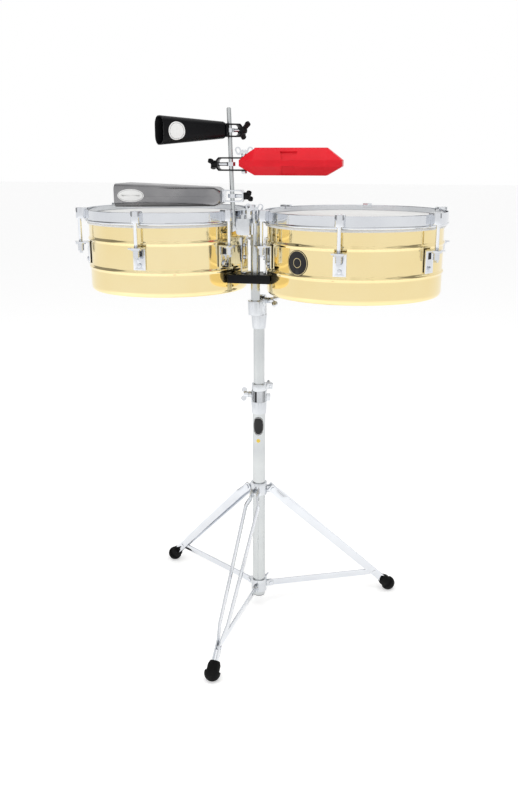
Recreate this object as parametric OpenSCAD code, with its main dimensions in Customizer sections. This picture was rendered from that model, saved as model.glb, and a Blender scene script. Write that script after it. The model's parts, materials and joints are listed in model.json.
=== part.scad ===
// Timbales: two brass drums, two bells and a jam block on a folding tripod stand.
// Millimetres, +Z up. Modules are written with the stand's axis at X 0, Y 0 and the floor at Z 0,
// and in_frame() then moves everything so that the whole object's box is centred on the origin.
// The drums stand side by side along X, and the accessory post is on the -Y side.

/* [Drums] */
// Outside diameter of the left shell (14 inch)
left_shell_d = 355.6; // [352:0.1:357]
// Outside diameter of the right shell (15 inch)
right_shell_d = 381; // [378:0.1:383]
// Height of both shells (6.5 inch)
shell_h = 165; // [160:1:170]
// Wall thickness of the brass shells
shell_wall = 1.2; // [1:0.1:2]
// Height of the shells' top edges above the floor
shell_top_z = 950; // [948:1:952]
// How far the hoops stand above the shells' top edges
hoop_rise = 12; // [10:1:14]
// Distance from the stand's axis back to the line through the drums' centres
drum_row_y = 15; // [13:1:17]
// Distance from the stand's axis to the left drum's centre
left_drum_x = 212.5; // [211:0.5:214]
// Distance from the stand's axis to the right drum's centre
right_drum_x = 209; // [208.5:0.5:211]
// Tension lugs on each drum
lug_count = 6; // [6]
// Turn of the lug circle away from straight ahead
lug_turn = -2.4; // [-3:0.1:-1]

/* [Stand] */
// Radius of the circle that the feet stand on
foot_circle_r = 340; // [335:1:350]
// Turn of the tripod about the tube
tripod_turn = -5; // [-15:1:15]
// Outside diameter of the lower tube
lower_tube_d = 30; // [30]
// Outside diameter of the middle tube
middle_tube_d = 25.4; // [25.4]
// Height of the lower tube's bottom end above the floor
tube_end_z = 30; // [26:1:34]
// Height of the leg pivots
leg_pivot_z = 305; // [300:1:308]
// Height of the brace pivots on the sliding collar
brace_pivot_z = 55; // [54:1:57]
// Height of the tilter's pivot bolt
tilt_pivot_z = 762; // [760:1:764]
// Height of the top of the height clamp, where the memory lock rests
clamp_top_z = 551; // [549:1:553]

/* [Accessories] */
// Diameter of the accessory post
post_d = 9.5; // [9.5]
// Length of the accessory post above the middle of its socket
post_l = 244; // [238:1:250]
// Lean of the accessory post to the left, in degrees
post_lean = 2; // [1.5:0.1:2.5]
// Height of the lower bell's middle above the floor
lower_bell_z = 993.3; // [992:0.1:996]
// Height of the jam block's middle above the floor
jam_block_z = 1060; // [1056:1:1062]
// Height of the upper bell's middle above the floor
upper_bell_z = 1125; // [1122:1:1127]
// Turn of the upper bell towards the player
upper_bell_turn = 42; // [30:1:50]
// Length of the jam block
jam_block_l = 214; // [205:1:220]
// Length of the upper bell
upper_bell_l = 143; // [138:1:150]
// Length of the lower bell
lower_bell_l = 222; // [215:1:230]

/* [Hidden] */
$fn = 64;
through = 1; // extra length of a cutter beyond each face
shaft_gap = 0.05; // radial clearance of a turning or sliding shaft
free_gap = 0.3; // clearance between pieces that move past each other

// Left drum, then right drum: X of the centre, Y of the centre and outside radius
left_drum = [-left_drum_x, drum_row_y, left_shell_d / 2];
right_drum = [right_drum_x, drum_row_y, right_shell_d / 2];
shell_base_z = shell_top_z - shell_h;
hoop_top_z = shell_top_z + hoop_rise;
bead_z = [52, shell_h - 52];
bead_r = 4;
bead_proud = 2.6;
shell_foot_h = 10;
shell_foot_in = 5;

// Head and hoop: radial distances are measured outwards from the shell
head_t = 0.6;
flesh_hoop_z = shell_top_z - 20;
flesh_hoop_top_z = shell_top_z - 10;
flesh_hoop_out = 3;
collar_in = 0.6;
collar_out = 1.2;
band_out = 8;
band_t = 2.3;
band_h = 21;
hoop_bead_r = 3.1;
hoop_bead_out = 6.4;
hoop_bead_drop = 23.4;

// Tension hooks, nuts and lugs, from the shell outwards
rod_out = 20;
rod_r = 4;
claw_r = 10;
claw_out = 17.5;
claw_z = hoop_top_z - 20;
claw_top = 3.2;
lug_w = 27;
lug_t = 3;
lug_gap = 1.5;
lug_out = rod_out + 12;
lug_top_z = shell_base_z + 107;
lug_base_z = shell_base_z + 58.5;
lug_bolt_z = lug_base_z + 10;
window_w = 11;
window_h = 14;
nut_r = 6.8;
nut_flange_r = 11;
nut_h = 22;

// Upper rod, in front of the stand's axis because of the tilter's offset
rod_y = -38;
upper_rod_r = 10;
upper_rod_top_z = 940;
socket_base_z = 735;
socket_top_z = 767;
socket_r = 17;
pivot_disc_r = 13;

// Crossbar
bar_z = 809;
bar_t = 18;
bar_front_y = -77;
bar_back_y = -8;
bar_left_x = -57;
bar_right_x = 46;
bar_corner_r = 7;
tongue_w = 22;
tongue_t = 4;
tongue_l = 14;
bracket_w = 30;
bracket_top_z = shell_base_z + 119;
bracket_bolt_z = [shell_base_z + 75.5, shell_base_z + 102];
left_rod_vec = [left_drum_x, rod_y - drum_row_y];
right_rod_vec = [-right_drum_x, rod_y - drum_row_y];
left_bracket_a = atan2(left_rod_vec[1], left_rod_vec[0]);
right_bracket_a = atan2(right_rod_vec[1], right_rod_vec[0]);
left_bracket_reach = norm(left_rod_vec) - left_drum[2] - 25.5;
right_bracket_reach = norm(right_rod_vec) - right_drum[2] - 20;
left_tongue_at = norm(left_rod_vec) - 21;
right_tongue_at = norm(right_rod_vec) - 21;

// Height clamp and memory lock
clamp_base_z = 497;
sleeve_top_z = 526;
lower_tube_top_z = 515;
clamp_r = 18.3;
memory_lock_h = 17;
middle_tube_base_z = 350;
tilter_base_z = 698;
middle_tube_top_z = tilter_base_z + 30;

// Tripod: leg A to foot, brace B to C
leg_pivot_r = 32;
brace_pivot_r = 30;
foot_ball_r = 17.5;
foot_pad_r = 6;
foot_z = sqrt(foot_ball_r * foot_ball_r - foot_pad_r * foot_pad_r);
leg_run = foot_circle_r - leg_pivot_r;
leg_drop = leg_pivot_z - foot_z;
leg_l = norm([leg_run, leg_drop]);
leg_slope = atan2(leg_drop, leg_run);
brace_joint_u = 367;
brace_joint_r = leg_pivot_r + brace_joint_u * cos(leg_slope);
brace_joint_z = leg_pivot_z - brace_joint_u * sin(leg_slope);
brace_l = norm([brace_joint_r - brace_pivot_r, brace_pivot_z - brace_joint_z]);
brace_slope = atan2(brace_pivot_z - brace_joint_z, brace_joint_r - brace_pivot_r);
leg_w = 18;
strip_t = 3;
ear_t = 2.5;
ear_in = 4;
brace_w = 15;
brace_t = 4;
brace_gap = 0.4;
pin_r = 3;
collar_r = 19;
foot_socket_u = leg_l - 25;
foot_socket_r = 14;
foot_neck_r = 11;
foot_neck_l = 8;
collar_wing_a = -90 + tripod_turn + 177;
front_leg_a = -90 + tripod_turn;
right_leg_a = front_leg_a + 120;
left_leg_a = front_leg_a - 120;

// Accessory post and its clamp
post_x = -39;
post_y = -75;
socket_z = 926;
post_r = post_d / 2;
clamp_block_z = 912;
clamp_block_top_z = 946;
clamp_wing_at = [2, -57, 955.5];
eye_shank_r = 3.5;
bracket_t = 3;

// Bells, from the post outwards: each section is [x, width, height, z, corner radius]
bell_back = 26;
upper_bell_x = -15;
upper_bell_sections = [
    [upper_bell_x, 22, 31, 0, 7], [upper_bell_x - 3, 25, 34, 0, 9],
    [upper_bell_x - upper_bell_l + 0.5, 44, 56, -1.5, 18]
];
lower_bell_x = -20;
lower_bell_sections = [
    [lower_bell_x, 54, 26, -1.5, 9], [lower_bell_x - 13, 68, 38.5, -1.5, 9],
    [lower_bell_x - lower_bell_l + 0.5, 118, 48, 1, 13]
];

// Jam block: half outlines as [z, y] at its thick middle and at its ends
jam_x = 19.6;
jam_front_half = [[30.6, 9], [22.8, 16], [6, 26], [-6.5, 26], [-24.5, 13]];
jam_end_half = [[6.5, 6], [6.4, 8], [6, 14], [-6.2, 14], [-6.5, 8]];
facet_window = [[92, -10.5], [118, -10.5], [123, 10], [87, 10]];
jam_bracket_drop = -2.2;
jam_bracket_h = 27.6;
jam_grip = jam_bracket_h / 2 - bracket_t - 0.02;
jam_bolt_x = 8.4;

// The whole object's box, worked out from the outer lugs, the front foot and the rear lug
lug_side_a = 30 + lug_turn;
lug_side = lug_out * cos(lug_side_a) + lug_w / 2 * sin(lug_side_a);
box_left = left_drum[0] - left_drum[2] * cos(lug_side_a) - lug_side;
box_right = right_drum[0] + right_drum[2] * cos(lug_side_a) + lug_side;
front_foot_y = foot_circle_r * sin(front_leg_a);
box_front = front_foot_y - foot_ball_r;
box_back = drum_row_y + (right_drum[2] + lug_out) * cos(lug_turn) + lug_w / 2 * abs(sin(lug_turn));
frame_shift = [-(box_left + box_right) / 2, -(box_front + box_back) / 2, 0];

// ---- Shared places and shapes ----

module in_frame() {
    translate(frame_shift) children();
}

module at_drum(drum) {
    translate([drum[0], drum[1], 0]) children();
}

// Children point outwards along +X at each lug of a drum
module at_lugs(drum) {
    at_drum(drum)
        for (i = [0 : lug_count - 1])
            rotate([0, 0, -90 + lug_turn + i * 360 / lug_count]) children();
}

// Children point from the drum's centre towards the upper rod along +X
module at_bracket(drum, angle) {
    at_drum(drum) rotate([0, 0, angle]) children();
}

module at_leg_pivot(angle) {
    rotate([0, 0, angle]) translate([leg_pivot_r, 0, leg_pivot_z]) children();
}

// Children lie along +X from the leg's pivot to its foot
module along_leg(angle) {
    at_leg_pivot(angle) rotate([0, leg_slope, 0]) children();
}

module on_post(h) {
    translate([post_x, post_y, socket_z])
        rotate([0, -post_lean, 0])
            translate([0, 0, h]) children();
}

module ring(outer_r, inner_r, h) {
    difference() {
        cylinder(r = outer_r, h = h, $fn = 128);
        translate([0, 0, -through]) cylinder(r = inner_r, h = h + 2 * through, $fn = 128);
    }
}

// A cylinder along +X
module x_rod(r, h) {
    rotate([0, 90, 0]) cylinder(r = r, h = h);
}

// A cylinder along Y, centred
module y_rod(r, h) {
    rotate([90, 0, 0]) cylinder(r = r, h = h, center = true);
}

// A flat bar along +X between two centres, with round ends, centred on Y
module link(length, width, thickness) {
    translate([0, thickness / 2, 0])
        rotate([90, 0, 0])
            linear_extrude(height = thickness) {
                circle(d = width);
                translate([length, 0]) circle(d = width);
                translate([0, -width / 2]) square([length, width]);
            }
}

// Wing bolt along +X: the hub starts at x 0, the shaft reaches back to -shaft_l, and the wings
// are swept forward by flare
module wing_bolt(shaft_r, shaft_l, span, lean, flare = 0) {
    hub_r = shaft_r * 1.8;
    hub_l = shaft_r * 2.6;
    wing_t = shaft_r * 1.1;
    lobe_r = span * 0.19;
    lobe_x = hub_l * 0.75 + flare;
    translate([-shaft_l, 0, 0]) x_rod(shaft_r, shaft_l + through);
    x_rod(hub_r, hub_l);
    rotate([lean, 0, 0])
        for (side = [-1, 1])
            translate([0, wing_t / 2, 0])
                rotate([90, 0, 0])
                    linear_extrude(height = wing_t) {
                        translate([lobe_x, side * (span / 2 - lobe_r)]) circle(r = lobe_r);
                        polygon([
                            [0.5, 0], [hub_l - 0.5, 0],
                            [lobe_x + lobe_r * 0.9, side * (span / 2 - lobe_r * 1.2)],
                            [lobe_x - lobe_r * 0.9, side * (span / 2 - lobe_r * 1.2)]
                        ]);
                    }
}

// ---- Drums ----

module shell(drum) {
    r = drum[2];
    color("goldenrod")
        at_drum(drum)
            difference() {
                union() {
                    translate([0, 0, shell_base_z + shell_foot_h])
                        cylinder(r = r, h = shell_h - shell_foot_h, $fn = 180);
                    translate([0, 0, shell_base_z])
                        cylinder(r1 = r - shell_foot_in, r2 = r, h = shell_foot_h, $fn = 180);
                    for (z = bead_z)
                        translate([0, 0, shell_base_z + z]) shell_bead(r, bead_r);
                }
                translate([0, 0, shell_base_z + shell_foot_h])
                    cylinder(r = r - shell_wall, h = shell_h, $fn = 180);
                translate([0, 0, shell_base_z - through])
                    cylinder(r1 = r - shell_wall - shell_foot_in - through / 2,
                             r2 = r - shell_wall, h = shell_foot_h + through, $fn = 180);
                for (z = bead_z)
                    translate([0, 0, shell_base_z + z]) shell_bead(r, bead_r - shell_wall);
                shell_bolt_holes(drum);
            }
}

module shell_bead(r, tube_r) {
    rotate_extrude($fn = 180)
        translate([r + bead_proud - bead_r, 0]) circle(r = tube_r, $fn = 32);
}

module shell_bolt_holes(drum) {
    r = drum[2];
    hole_r = 2.6;
    for (i = [0 : lug_count - 1])
        rotate([0, 0, -90 + lug_turn + i * 360 / lug_count])
            translate([r - 5, 0, lug_bolt_z]) x_rod(hole_r, 10);
    rotate([0, 0, drum[0] < 0 ? left_bracket_a : right_bracket_a])
        for (z = bracket_bolt_z) translate([r - 5, 0, z]) x_rod(hole_r, 10);
}

module head(drum) {
    r = drum[2];
    color("white")
        at_drum(drum)
            rotate_extrude($fn = 180)
                polygon([
                    [0, shell_top_z], [r + collar_in, shell_top_z],
                    [r + collar_in, flesh_hoop_z], [r + flesh_hoop_out, flesh_hoop_z],
                    [r + flesh_hoop_out, flesh_hoop_top_z], [r + collar_out, flesh_hoop_top_z],
                    [r + collar_out, shell_top_z + head_t], [0, shell_top_z + head_t]
                ]);
}

module hoop(drum) {
    r = drum[2];
    color("lightsteelblue")
        at_drum(drum) {
            translate([0, 0, hoop_top_z - band_h]) ring(r + band_out, r + band_out - band_t, band_h);
            rotate_extrude($fn = 180)
                translate([r + hoop_bead_out, hoop_top_z - hoop_bead_drop])
                    circle(r = hoop_bead_r, $fn = 32);
            translate([0, 0, flesh_hoop_top_z]) ring(r + band_out - 1, r + collar_out + 0.4, 2);
        }
}

// Bent steel lug: a plate that stands off the shell, with an ear for the tension rod
module lugs(drum) {
    r = drum[2];
    plate_h = lug_top_z - lug_base_z;
    color("lightsteelblue")
        at_lugs(drum)
            difference() {
                union() {
                    translate([r + lug_gap, -lug_w / 2, lug_base_z]) cube([lug_t, lug_w, plate_h]);
                    translate([r + lug_gap, -lug_w / 2, lug_top_z - lug_t])
                        cube([lug_out - lug_gap, lug_w, lug_t]);
                    translate([r - 0.8, 0, lug_bolt_z]) x_rod(6, lug_gap + 1.8);
                }
                translate([r + rod_out, 0, lug_top_z - lug_t - through])
                    cylinder(r = rod_r + 0.3, h = lug_t + 2 * through);
                translate([r + lug_gap - through, -window_w / 2, lug_top_z - lug_t - window_h - 3])
                    cube([lug_t + 2 * through, window_w, window_h]);
                translate([r - 5, 0, lug_bolt_z]) x_rod(2.6, 15);
                cylinder(r = r + 0.05, h = lug_top_z + through, $fn = 180);
            }
}

// Hexagon bolt through the shell, with a nut and washer inside
module shell_bolt(x) {
    x_rod(4.6, 3.2, $fn = 6);
    translate([-x - 6, 0, 0]) x_rod(2.5, x + 6.5);
    translate([-x - 5.5, 0, 0]) x_rod(5, 4, $fn = 6);
}

module drum_bolts(drum, angle, reach) {
    r = drum[2];
    color("silver") {
        at_lugs(drum)
            translate([r + lug_gap + lug_t, 0, lug_bolt_z]) shell_bolt(lug_gap + lug_t + shell_wall);
        at_bracket(drum, angle)
            for (z = bracket_bolt_z) translate([r + reach, 0, z]) shell_bolt(reach + shell_wall);
    }
}

// Claw over the hoop with its tension rod
module tension_hooks(drum) {
    r = drum[2];
    lip = 2.6;
    inner = r + band_out - band_t - lip - 0.1;
    claw_h = hoop_top_z - claw_z + claw_top;
    color("lightsteelblue")
        at_lugs(drum) {
            difference() {
                union() {
                    translate([r + claw_out, 0, claw_z]) cylinder(r = claw_r, h = claw_h);
                    translate([inner, -claw_r, claw_z]) cube([r + claw_out - inner, 2 * claw_r, claw_h]);
                }
                translate([0, 0, claw_z - through])
                    ring(r + band_out + 0.02, r + band_out - band_t - 0.02, hoop_top_z - claw_z + through);
                translate([0, 0, claw_z - through])
                    cylinder(r = r + band_out - 0.5, h = 14 + through, $fn = 128);
                translate([r + claw_out + 2, 0, hoop_top_z - 4]) cylinder(r = 5, h = 12);
            }
            translate([r + rod_out, 0, lug_top_z - lug_t - nut_h + 4])
                cylinder(r = rod_r, h = claw_z - lug_top_z + lug_t + nut_h);
        }
}

// Flanged barrel nut under the lug's ear, turned with a drum key
module tension_nuts(drum) {
    r = drum[2];
    nut_top = lug_top_z - lug_t;
    color("lightsteelblue")
        at_lugs(drum)
            translate([r + rod_out, 0, 0])
                difference() {
                    union() {
                        translate([0, 0, nut_top - 3]) cylinder(r = nut_flange_r, h = 3);
                        translate([0, 0, nut_top - nut_h + 5]) cylinder(r = nut_r - 0.8, h = nut_h - 5);
                        for (i = [0 : 3])
                            translate([0, 0, nut_top - 6.4 - i * 3.4]) cylinder(r = nut_r, h = 2.2);
                        translate([-3.6, -3.6, nut_top - nut_h]) cube([7.2, 7.2, nut_h - 8]);
                    }
                    translate([0, 0, nut_top - nut_h + 4]) cylinder(r = rod_r + shaft_gap, h = nut_h);
                }
}

// Channel bracket on the shell, whose tongue drops into the crossbar
module drum_bracket(drum, angle, reach, tongue_at) {
    r = drum[2];
    face_x = r + reach;
    color("lightsteelblue")
        at_bracket(drum, angle)
            difference() {
                union() {
                    translate([face_x - 3, -bracket_w / 2, bar_z + bar_t])
                        cube([3, bracket_w, bracket_top_z - bar_z - bar_t]);
                    for (side = [-1, 1])
                        translate([r - 3, side * (bracket_w / 2 - 1.5) - 1.5, bracket_bolt_z[0] - 14])
                            cube([reach + 2, 3, bracket_top_z - bracket_bolt_z[0] + 14]);
                    for (z = bracket_bolt_z)
                        translate([r - 3, 0, z]) x_rod(6, reach + 1);
                    translate([tongue_at, -tongue_w / 2, bar_z + bar_t - tongue_l])
                        cube([tongue_t, tongue_w, tongue_l + 3]);
                    translate([face_x - 3, -bracket_w / 2, bar_z + bar_t])
                        cube([tongue_at + tongue_t - face_x + 3, bracket_w, 3]);
                }
                cylinder(r = r + 0.05, h = bracket_top_z + through, $fn = 180);
                for (z = bracket_bolt_z)
                    translate([r - 5, 0, z]) x_rod(2.6, reach + 10);
                for (z = bead_z)
                    translate([0, 0, shell_base_z + z]) shell_bead(r, bead_r + 0.4);
            }
}

module left_shell() { shell(left_drum); }
module right_shell() { shell(right_drum); }
module left_head() { head(left_drum); }
module right_head() { head(right_drum); }
module left_hoop() { hoop(left_drum); }
module right_hoop() { hoop(right_drum); }
module left_lugs() { lugs(left_drum); }
module right_lugs() { lugs(right_drum); }
module left_drum_bolts() { drum_bolts(left_drum, left_bracket_a, left_bracket_reach); }
module right_drum_bolts() { drum_bolts(right_drum, right_bracket_a, right_bracket_reach); }
module left_tension_hooks() { tension_hooks(left_drum); }
module right_tension_hooks() { tension_hooks(right_drum); }
module left_tension_nuts() { tension_nuts(left_drum); }
module right_tension_nuts() { tension_nuts(right_drum); }
module left_bracket() { drum_bracket(left_drum, left_bracket_a, left_bracket_reach, left_tongue_at); }
module right_bracket() { drum_bracket(right_drum, right_bracket_a, right_bracket_reach, right_tongue_at); }

// ---- Post of the stand ----

module lower_tube() {
    color("silver")
        translate([0, 0, tube_end_z])
            ring(lower_tube_d / 2, middle_tube_d / 2 + free_gap, lower_tube_top_z - tube_end_z);
}

module tube_end_plug() {
    color("black") {
        translate([0, 0, tube_end_z - 2]) cylinder(r = lower_tube_d / 2 - 1, h = 2);
        translate([0, 0, tube_end_z]) cylinder(r = middle_tube_d / 2 + free_gap, h = 12);
    }
}

// Cast clamp on the lower tube: a tapered sleeve below and a split band with a boss above
module height_clamp() {
    boss_l = 9;
    color("silver")
        difference() {
            union() {
                translate([0, 0, clamp_base_z])
                    cylinder(r1 = clamp_r - 1.2, r2 = clamp_r, h = sleeve_top_z - clamp_base_z);
                translate([0, 0, sleeve_top_z]) cylinder(r = clamp_r - 0.5, h = clamp_top_z - sleeve_top_z);
                rotate([0, 0, 180]) translate([lower_tube_d / 2, 0, 0]) clamp_boss(boss_l);
                rotate([0, 0, 20])
                    translate([lower_tube_d / 2, -5, sleeve_top_z]) cube([11, 10, 16]);
            }
            translate([0, 0, clamp_base_z - through])
                cylinder(r = lower_tube_d / 2, h = clamp_top_z - clamp_base_z + 2 * through);
            rotate([0, 0, -104])
                translate([0, -3, sleeve_top_z]) cube([40, 6, clamp_top_z - sleeve_top_z + through]);
            translate([-40, 0, clamp_top_z - 11]) x_rod(4 + shaft_gap, 40);
        }
}

module clamp_boss(boss_l) {
    translate([0, 0, clamp_top_z - 11]) x_rod(7.5, boss_l);
}

module height_clamp_bush() {
    color("dimgray")
        difference() {
            translate([0, 0, lower_tube_top_z])
                ring(lower_tube_d / 2, middle_tube_d / 2 + shaft_gap, clamp_top_z - lower_tube_top_z);
            translate([-40, 0, clamp_top_z - 11]) x_rod(4 + shaft_gap, 40);
        }
}

module height_wing_bolt() {
    color("lightsteelblue")
        translate([-lower_tube_d / 2 - 9.5, 0, clamp_top_z - 11])
            rotate([0, 0, 180]) wing_bolt(4, 11, 32, 20, 3);
}

module middle_tube() {
    color("silver")
        translate([0, 0, middle_tube_base_z])
            ring(middle_tube_d / 2, middle_tube_d / 2 - 1.8, middle_tube_top_z - middle_tube_base_z);
}

// Split ring that grips the middle tube and rests on the height clamp
module memory_lock() {
    outer_r = 17;
    color("lightsteelblue")
        difference() {
            union() {
                translate([0, 0, clamp_top_z]) cylinder(r = outer_r, h = memory_lock_h);
                rotate([0, 0, 35])
                    for (side = [-1, 1])
                        translate([12, side * 4.2 - 2.4, clamp_top_z + 1]) cube([20, 4.8, memory_lock_h - 2]);
            }
            translate([0, 0, clamp_top_z - through])
                cylinder(r = middle_tube_d / 2, h = memory_lock_h + 2 * through);
            rotate([0, 0, 35])
                translate([0, -1.8, clamp_top_z - through]) cube([40, 3.6, memory_lock_h + 2 * through]);
            rotate([0, 0, 35])
                translate([26, 0, clamp_top_z + memory_lock_h / 2]) y_rod(3 + shaft_gap, 30);
        }
}

module memory_lock_wing_bolt() {
    color("lightsteelblue")
        rotate([0, 0, 35])
            translate([26, 6.9, clamp_top_z + memory_lock_h / 2])
                rotate([0, 0, 90]) wing_bolt(3, 14, 22, 25);
}

// ---- Tilter ----

module tilter_base() {
    disc_x = 4;
    disc_t = 11;
    color("silver")
        difference() {
            union() {
                translate([0, 0, tilter_base_z])
                    cylinder(r1 = 15.2, r2 = 18, h = 32);
                translate([disc_x, -11, tilter_base_z + 31])
                    cube([disc_t, 22, tilt_pivot_z - tilter_base_z - 31]);
                translate([disc_x, 0, tilt_pivot_z]) x_rod(pivot_disc_r, disc_t);
                translate([disc_x - 0.8, 0, tilt_pivot_z]) tilter_teeth();
            }
            translate([0, 0, tilter_base_z - through])
                cylinder(r = middle_tube_d / 2, h = middle_tube_top_z - tilter_base_z + through);
            translate([-10, 0, tilt_pivot_z]) x_rod(4 + shaft_gap, 50);
        }
}

// Radial teeth that lock the tilter's two discs
module tilter_teeth() {
    for (i = [0 : 11])
        rotate([i * 30, 0, 0])
            translate([0, -0.7, 6]) cube([0.9, 1.4, pivot_disc_r - 6.5]);
}

module tilter_socket() {
    disc_t = 10;
    color("silver")
        difference() {
            union() {
                translate([-disc_t + 3, 0, tilt_pivot_z]) x_rod(pivot_disc_r, disc_t - 0.2);
                translate([-disc_t + 3, rod_y + 6, tilt_pivot_z - 11])
                    cube([disc_t - 0.2, -rod_y - 6, 15]);
                translate([0, rod_y, socket_base_z])
                    cylinder(r1 = socket_r - 1.5, r2 = socket_r, h = socket_top_z - socket_base_z);
            }
            translate([0, rod_y, socket_base_z + 3]) cylinder(r = upper_rod_r, h = 60);
            translate([-20, 0, tilt_pivot_z]) x_rod(4 + shaft_gap, 50);
        }
}

module tilter_wing_bolt() {
    color("lightsteelblue") {
        translate([23, 0, tilt_pivot_z]) wing_bolt(4, 30.3, 34, -55, 7);
        translate([15.3, 0, tilt_pivot_z]) x_rod(7, 8.5);
        translate([-12.3, 0, tilt_pivot_z]) x_rod(7, 5);
    }
}

// ---- Upper rod and crossbar ----

module upper_rod() {
    color("silver")
        translate([0, rod_y, socket_base_z + 3]) {
            cylinder(r = upper_rod_r, h = upper_rod_top_z - socket_base_z - 5);
            cylinder(r = upper_rod_r - 1.5, h = upper_rod_top_z - socket_base_z - 3);
        }
}

// Slab that fills the space between the shells, with a slot for each drum's tongue
module crossbar() {
    color("black")
        difference() {
            translate([0, 0, bar_z])
                linear_extrude(height = bar_t) crossbar_outline();
            translate([0, rod_y, bar_z - through]) cylinder(r = upper_rod_r, h = bar_t + 2 * through);
            for (d = [[left_drum, left_bracket_a, left_tongue_at],
                      [right_drum, right_bracket_a, right_tongue_at]])
                at_bracket(d[0], d[1])
                    translate([d[2] - free_gap, -tongue_w / 2 - free_gap, bar_z - through])
                        cube([tongue_t + 2 * free_gap, tongue_w + 2 * free_gap, bar_t + 2 * through]);
            for (d = [left_drum, right_drum])
                at_drum(d)
                    translate([0, 0, bar_z - through])
                        cylinder(r = d[2] + 1.5, h = bar_t + 2 * through, $fn = 180);
            for (x = [-1, 1])
                translate([x * 13, 0, bar_z + bar_t / 2]) y_rod(3, 40);
        }
}

module crossbar_outline() {
    w = bar_right_x - bar_left_x;
    d = bar_back_y - bar_front_y;
    translate([bar_left_x, bar_front_y + bar_corner_r]) square([w, d - bar_corner_r]);
    translate([bar_left_x + bar_corner_r, bar_front_y]) square([w - 2 * bar_corner_r, d]);
    for (x = [bar_left_x + bar_corner_r, bar_right_x - bar_corner_r])
        translate([x, bar_front_y + bar_corner_r]) circle(r = bar_corner_r);
}

// Two socket screws from the back that clamp the bar on the rod
module crossbar_screws() {
    color("dimgray")
        for (x = [-1, 1])
            translate([x * 13, 0, bar_z + bar_t / 2])
                difference() {
                    union() {
                        translate([0, -14, 0]) y_rod(2.9, 12);
                        translate([0, -5.5, 0]) y_rod(5, 5);
                    }
                    translate([0, -3.5, 0]) y_rod(2.4, 3, $fn = 6);
                }
}

// ---- Tripod ----

// A flat bar on edge: centre-line points (along, across) thickened across by strip_t
module bent_strip(points, width) {
    n = len(points);
    outline = concat(
        [for (p = points) [p[0], p[1] + strip_t / 2]],
        [for (i = [n - 1 : -1 : 0]) [points[i][0], points[i][1] - strip_t / 2]]
    );
    translate([0, 0, -width / 2]) linear_extrude(height = width) polygon(outline);
}

module leg(angle) {
    ear_side = ear_in + ear_t + free_gap + strip_t / 2;
    foot_side = brace_t / 2 + brace_gap + strip_t / 2;
    path = [
        [-9, ear_side], [13, ear_side], [30, ear_side + 6.6], [40, ear_side + 7],
        [318, foot_side + 5.2], [352, foot_side], [leg_l - 3, foot_side]
    ];
    color("lightsteelblue")
        along_leg(angle)
            for (side = [0, 1])
                mirror([0, side, 0]) {
                    difference() {
                        bent_strip(path, leg_w);
                        y_rod(pin_r + shaft_gap, 60);
                    }
                    translate([brace_joint_u, foot_side + strip_t / 2 + 0.8, 0]) y_rod(4.5, 2);
                }
}

// Rubber foot on the end of the leg, with a flat patch where it meets the floor
module foot(angle) {
    pocket_w = brace_t + 2 * brace_gap + 2 * strip_t;
    color("black")
        difference() {
            along_leg(angle) {
                translate([leg_l, 0, 0])
                    difference() {
                        rotate([90, 0, 90]) sphere(r = foot_ball_r, $fn = 96);
                        translate([-2 * foot_ball_r - 3, -foot_ball_r - 1, -foot_ball_r - 1])
                            cube([2 * foot_ball_r, 2 * foot_ball_r + 2, 2 * foot_ball_r + 2]);
                    }
                difference() {
                    union() {
                        translate([foot_socket_u, 0, 0])
                            rotate([0, 90, 0])
                                cylinder(r1 = foot_neck_r, r2 = foot_socket_r, h = foot_neck_l);
                        translate([foot_socket_u + foot_neck_l, 0, 0]) x_rod(foot_socket_r, 18);
                    }
                    translate([foot_socket_u - through, -pocket_w / 2, -leg_w / 2])
                        cube([leg_l - 3 - foot_socket_u + through, pocket_w, leg_w]);
                }
            }
            rotate([0, 0, angle])
                translate([foot_circle_r - 30, -30, -40]) cube([60, 60, 40]);
        }
}

// Collar with three pairs of ears; the ears of each pair are gap apart
module eared_collar(z0, h, gap, pivot_r, pivot_z, ear_h, reach) {
    difference() {
        union() {
            translate([0, 0, z0]) cylinder(r = collar_r, h = h);
            for (a = [front_leg_a, right_leg_a, left_leg_a])
                rotate([0, 0, a])
                    for (side = [-1, 1])
                        translate([0, side * (gap / 2 + ear_t / 2) - ear_t / 2, 0]) {
                            translate([collar_r - 4, 0, pivot_z - ear_h / 2])
                                cube([pivot_r - collar_r + 4, ear_t, ear_h]);
                            translate([pivot_r, ear_t / 2, pivot_z]) y_rod(reach, ear_t);
                        }
        }
        for (a = [front_leg_a, right_leg_a, left_leg_a])
            rotate([0, 0, a]) translate([pivot_r, 0, pivot_z]) y_rod(pin_r, 60);
    }
}

module leg_collar() {
    color("lightsteelblue")
        difference() {
            eared_collar(leg_pivot_z - 10, 30, 2 * ear_in, leg_pivot_r, leg_pivot_z, 16, 8);
            translate([0, 0, leg_pivot_z - 20]) cylinder(r = lower_tube_d / 2, h = 60);
        }
}

module pivot_pins(pivot_r, pivot_z, half_l) {
    for (a = [front_leg_a, right_leg_a, left_leg_a])
        rotate([0, 0, a])
            translate([pivot_r, 0, pivot_z]) {
                y_rod(pin_r, 2 * half_l);
                for (side = [-1, 1])
                    translate([0, side * (half_l + 1), 0]) y_rod(5, 2);
            }
}

module leg_pivot_pins() {
    color("silver")
        pivot_pins(leg_pivot_r, leg_pivot_z, ear_in + ear_t + 2 * free_gap + strip_t);
}

// Flat brace from the sliding collar to the leg
module brace(angle) {
    color("silver")
        rotate([0, 0, angle])
            translate([brace_pivot_r, 0, brace_pivot_z])
                rotate([0, brace_slope, 0])
                    difference() {
                        union() {
                            link(brace_l - 12, brace_w, brace_t);
                            link(brace_l, 11, brace_t);
                        }
                        y_rod(pin_r + shaft_gap, 20);
                        translate([brace_l, 0, 0]) y_rod(pin_r, 20);
                    }
}

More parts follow.
